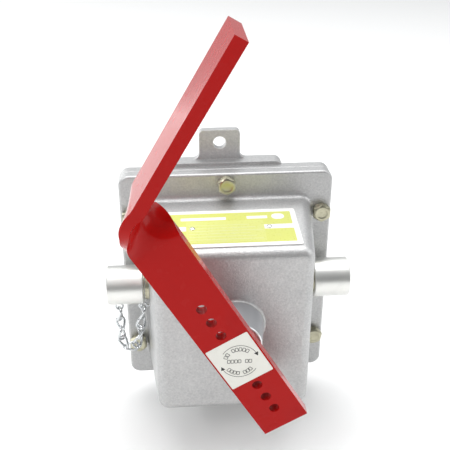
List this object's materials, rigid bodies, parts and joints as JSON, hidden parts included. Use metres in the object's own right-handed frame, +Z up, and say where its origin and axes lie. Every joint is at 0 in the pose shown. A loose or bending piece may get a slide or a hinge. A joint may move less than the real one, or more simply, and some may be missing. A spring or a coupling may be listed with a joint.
{
  "type": "pull-cord stop switch",
  "caption": "Cast metal safety stop switch with a twisted, bent red flat-bar lever, round conduit entries on both sides and lugs for wall mounting.",
  "frame": {"origin": "centre of the housing on its back face, which lies against the wall", "axes": "+Z up, +Y into the wall, +X to the right as a user faces the lever"},
  "size_m": [0.209, 0.1809, 0.3852],
  "materials": {
    "cast_aluminium": "sand cast, satin",
    "machined_aluminium": "turned, satin",
    "zinc_steel": "zinc plated, slightly yellow",
    "bright_chain": "bright zinc",
    "red_enamel": "gloss enamel",
    "label_plate": "printed foil",
    "nameplate_print": "printed aluminium",
    "dark_steel": "ground steel",
    "bronze": "sintered bronze",
    "black_rubber": "matt",
    "spring_steel": "oiled",
    "black_phenolic": "moulded",
    "ivory_plastic": "moulded",
    "brass": "plain"
  },
  "bodies": {
    "housing": {"base_casting": "cast_aluminium", "cover_casting": "cast_aluminium", "cover_bolts": "zinc_steel", "cover_lock_washers": "zinc_steel", "flange_o_ring": "black_rubber", "nameplate": "nameplate_print", "nameplate_rivets": "zinc_steel", "hub_nipple_left": "zinc_steel", "hub_nipple_right": "zinc_steel", "hub_locknut_left": "zinc_steel", "hub_locknut_right": "zinc_steel", "conduit_cap": "machined_aluminium", "conduit_coupling": "machined_aluminium", "cap_eye_screw": "bright_chain", "cover_eye_screw": "bright_chain", "push_spring": "spring_steel", "shaft_bush": "bronze", "shaft_seal": "black_rubber", "mechanism_bracket": "zinc_steel", "rear_bush": "bronze", "bracket_screws": "zinc_steel", "switch_screws": "zinc_steel", "ground_screw": "zinc_steel", "snap_switch_a": "black_phenolic", "snap_switch_b": "black_phenolic", "switch_terminals": "brass"},
    "push_carriage": {"thrust_washer": "bronze"},
    "lever": {"lever_bar": "red_enamel", "reset_label": "label_plate", "lever_screw": "zinc_steel", "lever_key": "dark_steel", "drive_shaft": "dark_steel", "retaining_ring": "spring_steel", "operating_cam": "dark_steel", "cam_key": "dark_steel", "cam_set_screw": "dark_steel", "stop_pin": "dark_steel"},
    "chain": {"retaining_chain": "bright_chain"},
    "plunger_a": {"switch_plunger_a": "ivory_plastic"},
    "plunger_b": {"switch_plunger_b": "ivory_plastic"}
  },
  "joints": [
    {"name": "push_in", "type": "slide", "parent": "housing", "child": "push_carriage", "axis": [0, 1, 0], "range_m": [0, 0.006], "stiffness_N_per_m": 2500, "springref_m": -0.008, "deforming": ["push_spring"]},
    {"name": "lever_turn", "type": "hinge", "parent": "push_carriage", "child": "lever", "pos_m": [0, -0.12, 0.0033], "axis": [0, 1, 0], "range_deg": [-35, 35]},
    {"name": "chain_swing", "type": "hinge", "parent": "housing", "child": "chain", "pos_m": [-0.08565, -0.054, -0.0148], "axis": [1, 0, 0], "range_deg": [-45, 10]},
    {"name": "plunger_a_travel", "type": "slide", "parent": "housing", "child": "plunger_a", "axis": [-1, 0, 0], "range_m": [0, 0.001], "stiffness_N_per_m": 1200, "springref_m": -0.001},
    {"name": "plunger_b_travel", "type": "slide", "parent": "housing", "child": "plunger_b", "axis": [1, 0, 0], "range_m": [0, 0.001], "stiffness_N_per_m": 1200, "springref_m": -0.001}
  ]
}
